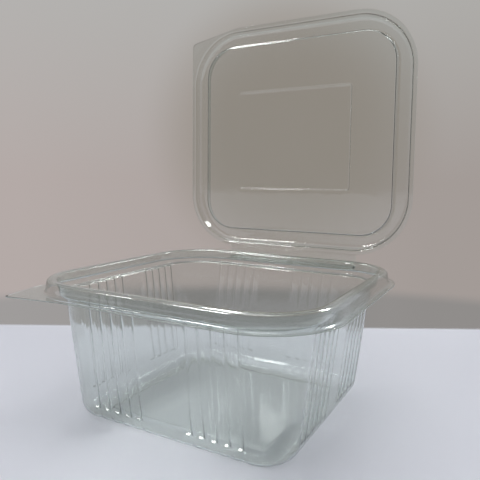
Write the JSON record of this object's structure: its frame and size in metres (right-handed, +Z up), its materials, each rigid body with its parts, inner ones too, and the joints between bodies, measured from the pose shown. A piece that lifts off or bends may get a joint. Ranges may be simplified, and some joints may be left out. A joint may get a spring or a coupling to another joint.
{
  "type": "hinged food container",
  "caption": "Clear thermoformed plastic food box: square fluted tray with a beaded rim, opening tab and a lid on a living hinge.",
  "frame": {"origin": "centre of the tray's underside, on the table", "axes": "+Z up, +Y towards the hinge at the back, X along the hinge"},
  "size_m": [0.1456, 0.1577, 0.2062],
  "materials": {
    "clear_pet": "clear gloss, thermoformed PET sheet"
  },
  "bodies": {
    "base": {"base_tray": "clear_pet"},
    "lid": {"lid": "clear_pet"}
  },
  "joints": [
    {"name": "lid_hinge", "type": "hinge", "parent": "base", "child": "lid", "pos_m": [0, 0.0773, 0.05915], "axis": [-1, 0, 0], "range_deg": [-90, 90]}
  ]
}
